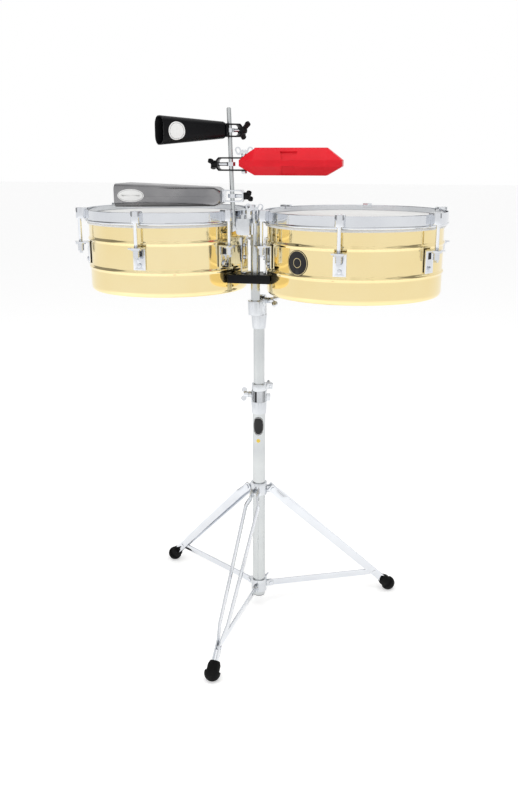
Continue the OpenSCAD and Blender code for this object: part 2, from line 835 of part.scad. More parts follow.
// Collar that slides on the lower tube and carries the braces
module brace_collar() {
    bore_r = lower_tube_d / 2 + shaft_gap;
    color("lightsteelblue")
        difference() {
            union() {
                eared_collar(brace_pivot_z - 15, 31, brace_t + 2 * free_gap, brace_pivot_r,
                             brace_pivot_z, 14, 7.5);
                rotate([0, 0, collar_wing_a])
                    translate([lower_tube_d / 2 + 1, 0, brace_pivot_z]) x_rod(7, 11);
            }
            translate([0, 0, brace_pivot_z - 30]) cylinder(r = bore_r, h = 60);
            rotate([0, 0, collar_wing_a]) translate([0, 0, brace_pivot_z]) x_rod(3.5 + shaft_gap, 60);
        }
}

module brace_pivot_pins() {
    color("silver") pivot_pins(brace_pivot_r, brace_pivot_z, brace_t / 2 + free_gap + ear_t);
}

module brace_collar_wing_bolt() {
    color("lightsteelblue")
        rotate([0, 0, collar_wing_a])
            translate([lower_tube_d / 2 + 15.5, 0, brace_pivot_z]) wing_bolt(3.5, 15, 34, 40);
}

module left_leg() { leg(left_leg_a); }
module front_leg() { leg(front_leg_a); }
module right_leg() { leg(right_leg_a); }
module left_foot() { foot(left_leg_a); }
module front_foot() { foot(front_leg_a); }
module right_foot() { foot(right_leg_a); }
module left_brace() { brace(left_leg_a); }
module front_brace() { brace(front_leg_a); }
module right_brace() { brace(right_leg_a); }

// ---- Accessory post ----

module accessory_post() {
    color("silver")
        on_post(0) {
            cylinder(r = post_r, h = post_l - 1.5);
            cylinder(r = post_r - 1.5, h = post_l);
        }
}

// Cast clamp on the top of the upper rod, with a diamond-shaped socket for the post
module post_clamp() {
    h = clamp_block_top_z - clamp_block_z;
    color("lightsteelblue")
        difference() {
            union() {
                translate([0, rod_y, clamp_block_z]) cylinder(r = 13.8, h = h - 4);
                translate([-34, -78, clamp_block_z + 8]) cube([30, 22, h - 8]);
                translate([-26, -78, clamp_block_z]) cube([22, 22, h]);
                translate([-26, -78, clamp_block_z + 8]) rotate([-90, 0, 0]) cylinder(r = 8, h = 22);
                translate([-13, -60, clamp_block_z]) cube([13, 24, h - 4]);
                translate([-35, -66, clamp_block_z + 14]) rotate([0, 45, 0]) cube([7, 8, 7], center = true);
                translate([post_x, post_y, socket_z]) rotate([0, -27, 0]) cube([12, 14, 12], center = true);
                translate([-21, -68, clamp_block_top_z - 1]) cylinder(r = 7, h = 9);
                translate(clamp_wing_at) translate([0, 0, -19.5]) cylinder(r = 6.5, h = 19.5);
            }
            translate([0, rod_y, clamp_block_z - through])
                cylinder(r = upper_rod_r, h = upper_rod_top_z - clamp_block_z + through);
            on_post(-1.2) cylinder(r = post_r + shaft_gap, h = 60);
            translate(clamp_wing_at) translate([0, 0, -14]) cylinder(r = 3 + shaft_gap, h = 20);
        }
}

module post_clamp_wing_bolt() {
    color("lightsteelblue") translate(clamp_wing_at) translate([0, 0, 0.4]) loop_wing_bolt(3, 13);
}

// ---- Bells and jam block ----

// Level frame on the post's axis at height z
module at_post(z) {
    translate([post_x - (z - socket_z) * tan(post_lean), post_y, z]) children();
}

// Cutter for the leaning post
module post_hole(half_h) {
    rotate([0, -post_lean, 0])
        translate([0, 0, -half_h]) cylinder(r = post_r + shaft_gap, h = 2 * half_h);
}

// U-shaped bracket of flat steel: the closed end is at x -back, and the arms run to x reach
module u_bracket(back, reach, half_h, width) {
    bevel = 5;
    difference() {
        translate([0, width / 2, 0])
            rotate([90, 0, 0])
                linear_extrude(height = width) u_outline(back, reach, half_h, bevel);
        translate([-back - through, 0, 0]) x_rod(eye_shank_r + 0.2, back);
    }
}

module u_outline(back, reach, half_h, bevel) {
    inner = half_h - bracket_t;
    inner_bevel = bevel - 1.2;
    polygon([
        [reach, half_h], [bevel - back, half_h], [-back, half_h - bevel],
        [-back, bevel - half_h], [bevel - back, -half_h], [reach, -half_h],
        [reach, -inner], [inner_bevel + bracket_t - back, -inner],
        [bracket_t - back, inner_bevel - inner], [bracket_t - back, inner - inner_bevel],
        [inner_bevel + bracket_t - back, inner], [reach, inner]
    ]);
}

// Eye bolt round the post, with its shank along -X turned by angle
module eye_bolt(length, angle) {
    difference() {
        rotate([0, 0, angle]) {
            translate([0, 0, -4]) cylinder(r = 9.5, h = 8);
            translate([-length, 0, 0]) x_rod(eye_shank_r, length);
        }
        post_hole(10);
    }
}

// Plastic wing nut along -X that starts at x 0
module wing_nut(span, lean) {
    hub_r = 7.5;
    hub_l = 9;
    wing_t = 5.5;
    lobe_r = 5.5;
    tip = hub_l + 2;
    rotate([0, 0, 180])
        difference() {
            union() {
                x_rod(hub_r, hub_l);
                translate([hub_l, 0, 0]) x_rod(hub_r - 1.5, 3);
                rotate([lean, 0, 0])
                    for (side = [-1, 1])
                        translate([0, wing_t / 2, 0])
                            rotate([90, 0, 0])
                                linear_extrude(height = wing_t) {
                                    translate([tip, side * (span / 2 - lobe_r)]) circle(r = lobe_r);
                                    polygon([
                                        [0.6, 0], [hub_l, 0],
                                        [tip + lobe_r * 0.9, side * (span / 2 - lobe_r * 1.2)],
                                        [tip - lobe_r * 0.9, side * (span / 2 - lobe_r * 1.2)]
                                    ]);
                                }
            }
            translate([-through, 0, 0]) x_rod(eye_shank_r + shaft_gap, hub_l + through);
        }
}

// Cast wing bolt along +Z with a pierced loop on each side; the hub starts at z 0
module loop_wing_bolt(shaft_r, shaft_l) {
    hub_r = shaft_r * 1.9;
    hub_h = 7;
    loop_t = 3.4;
    translate([0, 0, -shaft_l]) cylinder(r = shaft_r, h = shaft_l + through);
    cylinder(r = hub_r, h = hub_h);
    for (side = [-1, 1])
        translate([side * 12.2, 0, hub_h + 5.5])
            rotate([0, side * 24, 0])
                difference() {
                    union() {
                        translate([0, 0, 2.5]) y_rod(6, loop_t);
                        translate([0, 0, -2.5]) y_rod(6, loop_t);
                        translate([-6, -loop_t / 2, -2.5]) cube([12, loop_t, 5]);
                        translate([-side * 4.5, 0, -5]) cube([12, loop_t, 7], center = true);
                    }
                    translate([0, 0, 2.5]) y_rod(3.2, 10);
                    translate([0, 0, -1]) y_rod(3.2, 10);
                    translate([-3.2, -5, -1]) cube([6.4, 10, 3.5]);
                }
}

// Sheet-metal bell along -X. Each section is [x, width, height, z, corner radius];
// the first one is the closed end and the last one is the mouth.
module bell_body(sections, wall) {
    difference() {
        bell_solid(sections, 0);
        bell_solid(sections, wall);
    }
}

module bell_solid(sections, inset) {
    last = len(sections) - 1;
    hull()
        for (i = [0 : last])
            translate([sections[i][0] - (inset == 0 ? 0 : i == last ? 3 : inset), 0, sections[i][3]])
                bell_section(sections[i], inset);
}

module bell_section(section, inset) {
    corner_r = section[4];
    rotate([0, -90, 0])
        linear_extrude(height = 0.5)
            offset(r = corner_r - inset, $fn = 32)
                square([section[2] - 2 * corner_r, section[1] - 2 * corner_r], center = true);
}

// Bracket on a bell: its end plate is on the bell, and its closed end is beyond the post
module bell_clamp(bell_x, angle, half_h, width) {
    plate_w = width + 12;
    difference() {
        rotate([0, 0, angle]) {
            rotate([0, 0, 180]) u_bracket(bell_back, -bell_x - 0.1, half_h, width);
            translate([bell_x + 0.1, -plate_w / 2, -half_h]) cube([3, plate_w, 2 * half_h]);
        }
        post_hole(half_h + through);
    }
}

module bell_wing_nut(angle, span, lean) {
    rotate([0, 0, angle + 180]) translate([-bell_back - free_gap, 0, 0]) wing_nut(span, lean);
}

module upper_bell() {
    color("black")
        at_post(upper_bell_z) rotate([0, 0, upper_bell_turn]) bell_body(upper_bell_sections, 1.8);
}

module upper_bell_clamp() {
    color("black") at_post(upper_bell_z) bell_clamp(upper_bell_x, upper_bell_turn, 13.4, 16);
}

module upper_bell_eye_bolt() {
    color("silver") at_post(upper_bell_z) eye_bolt(bell_back + 9, upper_bell_turn + 180);
}

module upper_bell_wing_nut() {
    color("black") at_post(upper_bell_z) bell_wing_nut(upper_bell_turn, 42, 37);
}

module lower_bell() {
    color("gray") at_post(lower_bell_z) bell_body(lower_bell_sections, 1.6);
}

module lower_bell_clamp() {
    color("silver") at_post(lower_bell_z) bell_clamp(lower_bell_x, 0, 12.5, 20);
}

module lower_bell_eye_bolt() {
    color("silver") at_post(lower_bell_z) eye_bolt(bell_back + 9, 180);
}

module lower_bell_wing_nut() {
    color("black") at_post(lower_bell_z) bell_wing_nut(0, 30, 50);
}

// Hollow plastic block with faceted sides and tapered ends; it starts at x jam_x
module jam_block() {
    color("crimson")
        at_post(jam_block_z)
            translate([jam_x, 0, 0])
                difference() {
                    hull() {
                        jam_section(0, jam_end_half, 0);
                        jam_section(33, jam_front_half, 0);
                        jam_section(jam_block_l - 33, jam_front_half, 0);
                        jam_section(jam_block_l - 1, jam_end_half, 0);
                    }
                    hull() {
                        jam_section(42, jam_front_half, 5);
                        jam_section(jam_block_l - 36, jam_front_half, 5);
                        jam_section(jam_block_l - 10, jam_end_half, 3);
                    }
                    translate([48, 15, -3.5]) cube([jam_block_l - 90, 14, 7]);
                    for (side = [0, 1])
                        mirror([0, side, 0]) {
                            facet_notch(21, 14.4, 120.8, -5, facet_window);
                            facet_notch(19.5, -15.5, 234.2, -3, [[92, -12], [117, -12], [122, 12], [88, 12]]);
                        }
                    translate([-through, -10.5, jam_bracket_drop + jam_grip]) cube([33, 21, 40]);
                    translate([-through, -10.5, jam_bracket_drop - jam_grip - 40]) cube([23, 21, 40]);
                    translate([jam_bolt_x, 0, -40]) cylinder(r = 3.2, h = 80);
                }
}

// Recess of depth 3 in a sloping facet whose middle is at y, z
module facet_notch(y, z, turn, start, outline) {
    translate([0, y, z])
        rotate([turn, 0, 0])
            translate([0, 0, start]) linear_extrude(height = 8) polygon(outline);
}

// Thin slice of the block at x; half lists the outline of one side as [z, y] from the top down
module jam_section(x, half, inset) {
    other = [for (i = [len(half) - 1 : -1 : 0]) [half[i][0], -half[i][1]]];
    translate([x + 1, 0, 0])
        rotate([0, -90, 0])
            linear_extrude(height = 1)
                offset(delta = -inset) polygon(concat(half, other));
}

// Bracket whose arms hold the block's end between them
module jam_block_bracket() {
    color("black")
        at_post(jam_block_z + jam_bracket_drop)
            difference() {
                u_bracket(30, 40, jam_bracket_h / 2, 20);
                post_hole(20);
                translate([jam_x + jam_bolt_x, 0, -40]) cylinder(r = 3.2, h = 80);
            }
}

module jam_block_eye_bolt() {
    color("silver") at_post(jam_block_z + jam_bracket_drop) eye_bolt(39, 0);
}

module jam_block_wing_nut() {
    color("black")
        at_post(jam_block_z + jam_bracket_drop) translate([-30.3, 0, 0]) wing_nut(36, -60);
}

// Wing bolt through the bracket's arms and the end of the block, with a nut below
module jam_block_fixing_bolt() {
    color("lightsteelblue")
        at_post(jam_block_z)
            translate([jam_x + jam_bolt_x, 0, jam_bracket_drop + jam_bracket_h / 2 + 0.1]) {
                loop_wing_bolt(3.1, 34);
                translate([0, 0, -32.8]) cylinder(r = 6, h = 4.8, $fn = 6);
            }
}

in_frame() lower_tube();
in_frame() tube_end_plug();
in_frame() height_clamp();
in_frame() height_clamp_bush();
in_frame() leg_collar();
in_frame() leg_pivot_pins();
in_frame() left_leg();
in_frame() front_leg();
in_frame() right_leg();
in_frame() left_foot();
in_frame() front_foot();
in_frame() right_foot();
in_frame() left_brace();
in_frame() front_brace();
in_frame() right_brace();
in_frame() brace_collar();
in_frame() brace_pivot_pins();
in_frame() brace_collar_wing_bolt();
in_frame() middle_tube();
in_frame() memory_lock();
in_frame() memory_lock_wing_bolt();
in_frame() height_wing_bolt();
in_frame() tilter_base();
in_frame() tilter_socket();
in_frame() tilter_wing_bolt();
in_frame() upper_rod();
in_frame() crossbar();
in_frame() crossbar_screws();
in_frame() left_shell();
in_frame() left_head();
in_frame() left_hoop();
in_frame() left_lugs();
in_frame() left_drum_bolts();
in_frame() left_tension_hooks();
in_frame() left_tension_nuts();
in_frame() left_bracket();
in_frame() right_shell();
in_frame() right_head();
in_frame() right_hoop();
in_frame() right_lugs();
in_frame() right_drum_bolts();
in_frame() right_tension_hooks();
in_frame() right_tension_nuts();
in_frame() right_bracket();
in_frame() accessory_post();
in_frame() post_clamp();
in_frame() post_clamp_wing_bolt();
in_frame() upper_bell();
in_frame() upper_bell_clamp();
in_frame() upper_bell_eye_bolt();
in_frame() upper_bell_wing_nut();
in_frame() jam_block();
in_frame() jam_block_bracket();
in_frame() jam_block_eye_bolt();
in_frame() jam_block_wing_nut();
in_frame() jam_block_fixing_bolt();
in_frame() lower_bell();
in_frame() lower_bell_clamp();
in_frame() lower_bell_eye_bolt();
in_frame() lower_bell_wing_nut();
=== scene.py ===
import json
import math

import bpy
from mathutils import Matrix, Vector


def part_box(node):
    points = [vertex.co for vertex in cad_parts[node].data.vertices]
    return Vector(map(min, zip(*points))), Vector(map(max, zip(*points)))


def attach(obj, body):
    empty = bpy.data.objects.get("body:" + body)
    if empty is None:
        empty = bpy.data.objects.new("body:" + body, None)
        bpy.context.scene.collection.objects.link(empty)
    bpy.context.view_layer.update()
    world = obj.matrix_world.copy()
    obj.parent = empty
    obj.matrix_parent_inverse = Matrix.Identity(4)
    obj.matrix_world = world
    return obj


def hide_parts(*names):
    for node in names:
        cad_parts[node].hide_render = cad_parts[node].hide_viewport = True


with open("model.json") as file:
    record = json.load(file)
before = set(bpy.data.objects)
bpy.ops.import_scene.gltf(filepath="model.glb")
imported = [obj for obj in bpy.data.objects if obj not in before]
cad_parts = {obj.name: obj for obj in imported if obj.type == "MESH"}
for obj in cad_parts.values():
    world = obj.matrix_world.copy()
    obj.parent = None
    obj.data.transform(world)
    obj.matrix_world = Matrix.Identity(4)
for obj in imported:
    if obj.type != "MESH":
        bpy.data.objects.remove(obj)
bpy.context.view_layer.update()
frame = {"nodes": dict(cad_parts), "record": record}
mm = 0.001
bodies = frame["record"]["behaviour"]["bodies"]
bodyOf = {node: body for body, members in bodies.items() for node in members}
slotOf = {part["node"]: part["material_slot"] for part in frame["record"]["subparts"]}
print("frame loaded:", len(bodyOf), "nodes")


# Selecting, placing and finishing

def selectOnly(piece):
    if bpy.context.object and bpy.context.object.mode != "OBJECT":
        bpy.ops.object.mode_set(mode="OBJECT")
    bpy.ops.object.select_all(action="DESELECT")
    piece.select_set(True)
    bpy.context.view_layer.objects.active = piece


def newPiece(name):
    piece = bpy.context.object
    piece.name = name
    piece.data.name = name
    return piece


def applyPlace(piece):
    selectOnly(piece)
    bpy.ops.object.transform_apply(location=True, rotation=True, scale=True)


def applyModifier(piece, kind, **settings):
    selectOnly(piece)
    modifier = piece.modifiers.new(kind.title(), kind)
    for key, value in settings.items():
        setattr(modifier, key, value)
    bpy.ops.object.modifier_apply(modifier=modifier.name)


def editAll(piece):
    selectOnly(piece)
    bpy.ops.object.mode_set(mode="EDIT")
    bpy.ops.mesh.select_all(action="SELECT")


def endEdit():
    bpy.ops.object.mode_set(mode="OBJECT")


def mergeAndTurnOut(piece, gap=0.001 * mm):
    editAll(piece)
    bpy.ops.mesh.remove_doubles(threshold=gap)
    bpy.ops.mesh.normals_make_consistent(inside=False)
    endEdit()


def smoothByAngle(piece, degrees):
    selectOnly(piece)
    bpy.ops.object.shade_smooth_by_angle(angle=math.radians(degrees))


def dress(piece, material, body):
    piece.data.materials.clear()
    piece.data.materials.append(material)
    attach(piece, body)


# Shader effects that several finishes share

def newGroup(name, inputs, outputs):
    group = bpy.data.node_groups.new(name, "ShaderNodeTree")
    for label, kind, value in inputs:
        group.interface.new_socket(name=label, in_out="INPUT", socket_type=kind).default_value = value
    for label, kind in outputs:
        group.interface.new_socket(name=label, in_out="OUTPUT", socket_type=kind)
    return group, group.nodes.new("NodeGroupInput"), group.nodes.new("NodeGroupOutput")


def addNode(tree, kind, values=None, **settings):
    node = tree.nodes.new(kind)
    for key, value in settings.items():
        setattr(node, key, value)
    for label, value in (values or {}).items():
        node.inputs[label].default_value = value
    return node


def buildHandledGloss():
    group, given, made = newGroup(
        "handledGloss",
        [("Scale", "NodeSocketFloat", 20), ("Smooth", "NodeSocketFloat", 0.05),
         ("Rough", "NodeSocketFloat", 0.2)],
        [("Roughness", "NodeSocketFloat"), ("Height", "NodeSocketFloat")])
    place = addNode(group, "ShaderNodeTexCoord")
    smears = addNode(group, "ShaderNodeTexNoise", {"Detail": 5, "Roughness": 0.62, "Distortion": 0.6})
    spread = addNode(group, "ShaderNodeMapRange", {"From Min": 0.36, "From Max": 0.66})
    finer = addNode(group, "ShaderNodeMath", {1: 17}, operation="MULTIPLY")
    pits = addNode(group, "ShaderNodeTexNoise", {"Detail": 3})
    link = group.links.new
    link(place.outputs["Object"], smears.inputs["Vector"])
    link(given.outputs["Scale"], smears.inputs["Scale"])
    link(smears.outputs["Fac"], spread.inputs["Value"])
    link(given.outputs["Smooth"], spread.inputs["To Min"])
    link(given.outputs["Rough"], spread.inputs["To Max"])
    link(spread.outputs["Result"], made.inputs["Roughness"])
    link(given.outputs["Scale"], finer.inputs[0])
    link(place.outputs["Object"], pits.inputs["Vector"])
    link(finer.outputs["Value"], pits.inputs["Scale"])
    link(pits.outputs["Fac"], made.inputs["Height"])
    return group


def buildColourDrift():
    group, given, made = newGroup(
        "colourDrift",
        [("Light", "NodeSocketColor", (1, 1, 1, 1)), ("Deep", "NodeSocketColor", (0.5, 0.5, 0.5, 1)),
         ("Scale", "NodeSocketFloat", 8)],
        [("Color", "NodeSocketColor")])
    place = addNode(group, "ShaderNodeTexCoord")
    clouds = addNode(group, "ShaderNodeTexNoise", {"Detail": 4, "Roughness": 0.55})
    spread = addNode(group, "ShaderNodeMapRange", {"From Min": 0.3, "From Max": 0.7})
    blend = addNode(group, "ShaderNodeMix", data_type="RGBA")
    link = group.links.new
    link(place.outputs["Object"], clouds.inputs["Vector"])
    link(given.outputs["Scale"], clouds.inputs["Scale"])
    link(clouds.outputs["Fac"], spread.inputs["Value"])
    link(spread.outputs["Result"], blend.inputs["Factor"])
    link(given.outputs["Light"], blend.inputs[6])
    link(given.outputs["Deep"], blend.inputs[7])
    link(blend.outputs[2], made.inputs["Color"])
    return group


def buildBrushLines():
    group, given, made = newGroup(
        "brushLines",
        [("Stretch", "NodeSocketVector", (1, 1, 60)), ("Scale", "NodeSocketFloat", 30)],
        [("Lines", "NodeSocketFloat")])
    place = addNode(group, "ShaderNodeTexCoord")
    draw = addNode(group, "ShaderNodeVectorMath", operation="MULTIPLY")
    grain = addNode(group, "ShaderNodeTexNoise", {"Detail": 7, "Roughness": 0.7})
    link = group.links.new
    link(place.outputs["Object"], draw.inputs[0])
    link(given.outputs["Stretch"], draw.inputs[1])
    link(draw.outputs["Vector"], grain.inputs["Vector"])
    link(given.outputs["Scale"], grain.inputs["Scale"])
    link(grain.outputs["Fac"], made.inputs["Lines"])
    return group


handledGloss = buildHandledGloss()
colourDrift = buildColourDrift()
brushLines = buildBrushLines()


def finish(name, look):
    material = bpy.data.materials.new(name)
    material.use_nodes = True
    tree = material.node_tree
    shader = tree.nodes["Principled BSDF"]
    shader.inputs["Metallic"].default_value = look.get("metal", 0)
    shader.inputs["Coat Weight"].default_value = look.get("coat", 0)
    shader.inputs["Specular IOR Level"].default_value = look.get("specular", 0.5)
    link = tree.links.new
    colours = addNode(tree, "ShaderNodeGroup", node_tree=colourDrift)
    colours.inputs["Light"].default_value = (*look["light"], 1)
    colours.inputs["Deep"].default_value = (*look["deep"], 1)
    colours.inputs["Scale"].default_value = look.get("driftScale", 9)
    link(colours.outputs["Color"], shader.inputs["Base Color"])
    gloss = addNode(tree, "ShaderNodeGroup", node_tree=handledGloss)
    gloss.inputs["Scale"].default_value = look.get("smearScale", 24)
    gloss.inputs["Smooth"].default_value = look["roughness"][0]
    gloss.inputs["Rough"].default_value = look["roughness"][1]
    link(gloss.outputs["Roughness"], shader.inputs["Roughness"])
    bump = addNode(tree, "ShaderNodeBump",
                   {"Strength": look.get("bump", 0.1), "Distance": look.get("depth", 0.05) * mm})
    link(bump.outputs["Normal"], shader.inputs["Normal"])
    if "brush" not in look:
        link(gloss.outputs["Height"], bump.inputs["Height"])
        return material
    lines = addNode(tree, "ShaderNodeGroup", node_tree=brushLines)
    lines.inputs["Stretch"].default_value = look["brush"]
    lines.inputs["Scale"].default_value = look.get("brushScale", 30)
    link(lines.outputs["Lines"], bump.inputs["Height"])
    return material


looks = {
    "brass": {"light": (0.95, 0.82, 0.5), "deep": (0.9, 0.73, 0.37), "metal": 1, "roughness": (0.05, 0.11),
              "driftScale": 3, "smearScale": 11, "brush": (1, 1, 140), "brushScale": 22, "bump": 0.06,
              "depth": 0.02},
    "chrome": {"light": (0.76, 0.78, 0.81), "deep": (0.68, 0.7, 0.74), "metal": 1, "roughness": (0.05, 0.12),
               "smearScale": 40, "bump": 0.04, "depth": 0.02},
    "tube": {"light": (0.62, 0.64, 0.64), "deep": (0.54, 0.56, 0.57), "metal": 1, "roughness": (0.16, 0.27),
             "driftScale": 14, "brush": (1, 1, 90), "brushScale": 34, "bump": 0.08, "depth": 0.02},
    "cast_metal": {"light": (0.7, 0.72, 0.74), "deep": (0.58, 0.6, 0.63), "metal": 1,
                   "roughness": (0.12, 0.24), "driftScale": 30, "smearScale": 60, "bump": 0.22,
                   "depth": 0.06},
    "dark_steel": {"light": (0.24, 0.24, 0.25), "deep": (0.12, 0.12, 0.13), "metal": 1,
                   "roughness": (0.25, 0.42), "smearScale": 80, "bump": 0.2, "depth": 0.05},
    "black_paint": {"light": (0.005, 0.005, 0.006), "deep": (0.002, 0.002, 0.003), "coat": 0.02,
                    "roughness": (0.26, 0.38), "smearScale": 50, "bump": 0.12, "depth": 0.08,
                    "specular": 0.14},
    "black_plastic": {"light": (0.006, 0.006, 0.007), "deep": (0.003, 0.003, 0.004), "roughness": (0.32, 0.5),
                      "smearScale": 90, "bump": 0.25, "depth": 0.08, "specular": 0.16},
    "rubber": {"light": (0.007, 0.007, 0.007), "deep": (0.003, 0.003, 0.003), "roughness": (0.6, 0.82),
               "smearScale": 70, "bump": 0.4, "depth": 0.15, "specular": 0.12},
    "nylon": {"light": (0.05, 0.05, 0.055), "deep": (0.03, 0.03, 0.034), "roughness": (0.4, 0.55),
              "smearScale": 90, "bump": 0.15, "depth": 0.05},
    "red_plastic": {"light": (0.74, 0.01, 0.022), "deep": (0.62, 0.007, 0.016), "coat": 0.02,
                    "specular": 0.22, "roughness": (0.32, 0.46), "driftScale": 16, "smearScale": 34,
                    "bump": 0.18, "depth": 0.1},
    "head_film": {"light": (0.72, 0.72, 0.71), "deep": (0.66, 0.66, 0.65), "roughness": (0.42, 0.6),
                  "driftScale": 12, "smearScale": 120, "bump": 0.3, "depth": 0.08, "specular": 0.3},
    "bell_steel": {"light": (0.36, 0.355, 0.36), "deep": (0.22, 0.22, 0.23), "metal": 1,
                   "roughness": (0.24, 0.36), "driftScale": 12, "brush": (1.2, 45, 60), "brushScale": 26,
                   "bump": 0.3, "depth": 0.05},
    "enamelBlack": {"light": (0.008, 0.008, 0.009), "deep": (0.004, 0.004, 0.005), "coat": 0.15,
                    "roughness": (0.12, 0.2), "bump": 0.05, "specular": 0.3},
    "labelWhite": {"light": (0.84, 0.84, 0.83), "deep": (0.77, 0.77, 0.76), "coat": 0.3,
                   "roughness": (0.25, 0.36), "bump": 0.05},
    "labelGrey": {"light": (0.2, 0.2, 0.21), "deep": (0.16, 0.16, 0.17), "coat": 0.3,
                  "roughness": (0.25, 0.36), "bump": 0.05},
    "labelYellow": {"light": (0.82, 0.6, 0.06), "deep": (0.72, 0.5, 0.04), "coat": 0.2,
                    "roughness": (0.3, 0.42), "bump": 0.05},
}
finishes = {name: finish(name, look) for name, look in looks.items()}
for nodeName, nodeObject in frame["nodes"].items():
    nodeObject.data.materials.clear()
    nodeObject.data.materials.append(finishes[slotOf[nodeName]])
print("finishes made:", len(finishes))


# Camera, floor and soft light

studio = {"cameraAt": (0.3971, -1.8275, 1.0804), "pitch": 74, "turn": 12, "lens": 38.8, "floorSize": 60,
          "daylight": 0.66, "floorGlow": 0.37}
panels = [(0.0, 0.3), (0.06, 0.24), (0.075, 0.82), (0.15, 0.92), (0.155, 0.6), (0.16, 1.0), (0.235, 0.9),
          (0.24, 1.04), (0.262, 0.86), (0.33, 0.97), (0.335, 0.62), (0.34, 0.98), (0.42, 0.92), (0.43, 0.5),
          (0.47, 0.85), (0.49, 0.28), (0.55, 0.3), (0.565, 0.9), (0.7, 0.98), (0.705, 0.6), (0.71, 0.95),
          (0.9, 0.9), (0.91, 0.3)]


def buildStudio():
    bpy.ops.object.camera_add(location=studio["cameraAt"],
                              rotation=(math.radians(studio["pitch"]), 0, math.radians(studio["turn"])))
    camera = bpy.context.object
    camera.data.lens = studio["lens"]
    camera.data.sensor_fit = "VERTICAL"
    camera.data.sensor_height = 36
    camera.data.clip_end = 200
    bpy.context.scene.camera = camera
    bpy.context.scene.view_settings.view_transform = "Standard"
    bpy.ops.mesh.primitive_plane_add(size=studio["floorSize"])
    floor = newPiece("studioFloor")
    paper = bpy.data.materials.new("paleFloor")
    paper.use_nodes = True
    shader = paper.node_tree.nodes["Principled BSDF"]
    shader.inputs["Base Color"].default_value = (0.88, 0.88, 0.88, 1)
    shader.inputs["Roughness"].default_value = 0.8
    shader.inputs["Specular IOR Level"].default_value = 0.1
    shader.inputs["Emission Color"].default_value = (1, 1, 1, 1)
    shader.inputs["Emission Strength"].default_value = studio["floorGlow"]
    floor.data.materials.append(paper)


def buildPanels():
    world = bpy.data.worlds.new("softPanels")
    bpy.context.scene.world = world
    world.use_nodes = True
    tree = world.node_tree
    link = tree.links.new
    back = tree.nodes["Background"]
    place = addNode(tree, "ShaderNodeTexCoord")
    around = addNode(tree, "ShaderNodeTexGradient", gradient_type="RADIAL")
    tones = addNode(tree, "ShaderNodeValToRGB")
    link(place.outputs["Generated"], around.inputs["Vector"])
    link(around.outputs["Fac"], tones.inputs["Fac"])
    stops = tones.color_ramp.elements
    for index, (spot, level) in enumerate(panels):
        stop = stops[index] if index < 2 else stops.new(spot)
        stop.position = spot
        stop.color = (level, level, level, 1)
    seen = addNode(tree, "ShaderNodeLightPath")
    mirrored = addNode(tree, "ShaderNodeMix", data_type="RGBA")
    direct = addNode(tree, "ShaderNodeMix", data_type="RGBA")
    mirrored.inputs[6].default_value = (*[studio["daylight"]] * 3, 1)
    direct.inputs[7].default_value = (1, 1, 1, 1)
    link(seen.outputs["Is Glossy Ray"], mirrored.inputs["Factor"])
    link(tones.outputs["Color"], mirrored.inputs[7])
    link(seen.outputs["Is Camera Ray"], direct.inputs["Factor"])
    link(mirrored.outputs[2], direct.inputs[6])
    link(direct.outputs[2], back.inputs["Color"])


def addSoftbox(name, size, power, at, towards):
    bpy.ops.object.light_add(type="AREA", location=at)
    lamp = bpy.context.object
    lamp.name = name
    lamp.data.shape = "RECTANGLE"
    lamp.data.size, lamp.data.size_y = size
    lamp.data.energy = power
    lamp.visible_glossy = False
    lamp.rotation_euler = (Vector(towards) - Vector(at)).to_track_quat("-Z", "Y").to_euler()


buildStudio()
buildPanels()
addSoftbox("topBox", (2.4, 2.4), 30, (0.2, -0.4, 3.0), (0, 0, 0.6))
addSoftbox("leftBox", (0.9, 2.2), 16, (-2.2, -1.8, 1.9), (0, 0, 0.7))
addSoftbox("rightBox", (0.7, 2.0), 5, (2.5, -1.2, 1.6), (0, 0, 0.7))
print("studio ready")


# Pieces turned from an outline

def turnedPiece(name, centre, outline, steps):
    bpy.ops.mesh.primitive_plane_add(size=1 * mm)
    piece = newPiece(name)
    editAll(piece)
    bpy.ops.mesh.merge(type="CENTER")
    bpy.ops.transform.translate(value=(centre.x + outline[0][0], centre.y, outline[0][1]))
    for (lastR, lastZ), (radius, z) in zip(outline, outline[1:]):
        bpy.ops.mesh.extrude_vertices_move(TRANSFORM_OT_translate={"value": (radius - lastR, 0, z - lastZ)})
    bpy.ops.mesh.select_all(action="SELECT")
    bpy.ops.mesh.spin(steps=steps, angle=2 * math.pi, center=(centre.x, centre.y, 0), axis=(0, 0, 1))
    endEdit()
    mergeAndTurnOut(piece, 0.01 * mm)
    return piece


def arcPoints(centreR, centreZ, radius, start, stop, count):
    angles = [math.radians(start + (stop - start) * i / count) for i in range(count + 1)]
    return [(centreR + radius * math.cos(a), centreZ + radius * math.sin(a)) for a in angles]


shellShape = {"wall": 1.2 * mm, "footHeight": 10 * mm, "footIn": 5 * mm, "footParts": 8,
              "beadFromEnds": 52 * mm, "beadHalf": 5.5 * mm, "beadProud": 2.6 * mm, "beadParts": 8,
              "beadFullness": 0.8, "lip": 0.5 * mm, "flatEdge": 0.7 * mm, "steps": 180}


